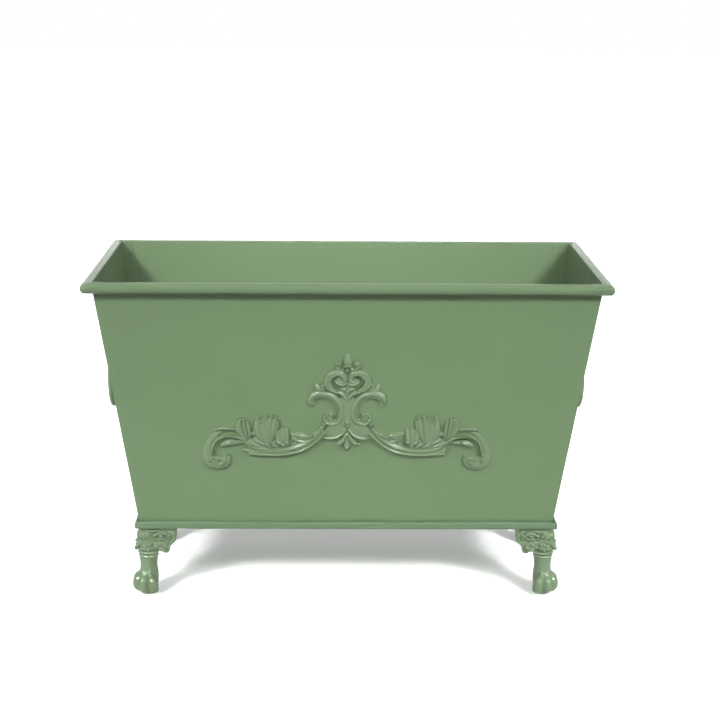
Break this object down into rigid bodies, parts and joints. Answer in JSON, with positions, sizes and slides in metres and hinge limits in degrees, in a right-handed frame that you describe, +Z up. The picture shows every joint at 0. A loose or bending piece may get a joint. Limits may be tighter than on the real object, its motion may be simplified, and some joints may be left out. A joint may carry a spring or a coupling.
{
  "type": "versailles planter",
  "caption": "Rectangular painted metal planter box with outward leaning walls, bar rim, scrollwork front, claw feet and drop rings on the ends.",
  "frame": {"origin": "on the floor under the middle of the rim", "axes": "+X along the length towards the right end, +Y towards the back, +Z up; the scrollwork faces -Y"},
  "size_m": [0.61, 0.305, 0.395],
  "materials": {
    "wall_paint": "semi-gloss sage green enamel on sheet steel",
    "casting_paint": "semi-gloss sage green enamel on castings",
    "pan_paint": "semi-gloss sage green enamel on the floor pan",
    "screw_steel": "zinc plated steel"
  },
  "bodies": {
    "box": {"front_wall": "wall_paint", "back_wall": "wall_paint", "left_wall": "wall_paint", "right_wall": "wall_paint", "floor_pan": "pan_paint", "rim_front": "wall_paint", "rim_back": "wall_paint", "rim_left": "wall_paint", "rim_right": "wall_paint", "band_front": "wall_paint", "band_back": "wall_paint", "band_left": "wall_paint", "band_right": "wall_paint", "foot_front_left": "casting_paint", "foot_front_right": "casting_paint", "foot_back_left": "casting_paint", "foot_back_right": "casting_paint", "foot_screws": "screw_steel", "foot_washers": "screw_steel", "crest": "casting_paint", "spray_left": "casting_paint", "spray_right": "casting_paint", "scroll_pins": "pan_paint", "boss_left": "casting_paint", "boss_right": "casting_paint", "boss_rivets": "casting_paint"},
    "left_drop_ring": {"ring_left": "casting_paint"},
    "right_drop_ring": {"ring_right": "casting_paint"}
  },
  "joints": [
    {"name": "left_ring_swing", "type": "hinge", "parent": "box", "child": "left_drop_ring", "pos_m": [-0.28746, 0, 0.286], "axis": [0, 1, 0], "range_deg": [-12, 175]},
    {"name": "right_ring_swing", "type": "hinge", "parent": "box", "child": "right_drop_ring", "pos_m": [0.28746, 0, 0.286], "axis": [0, -1, 0], "range_deg": [-12, 175]}
  ]
}
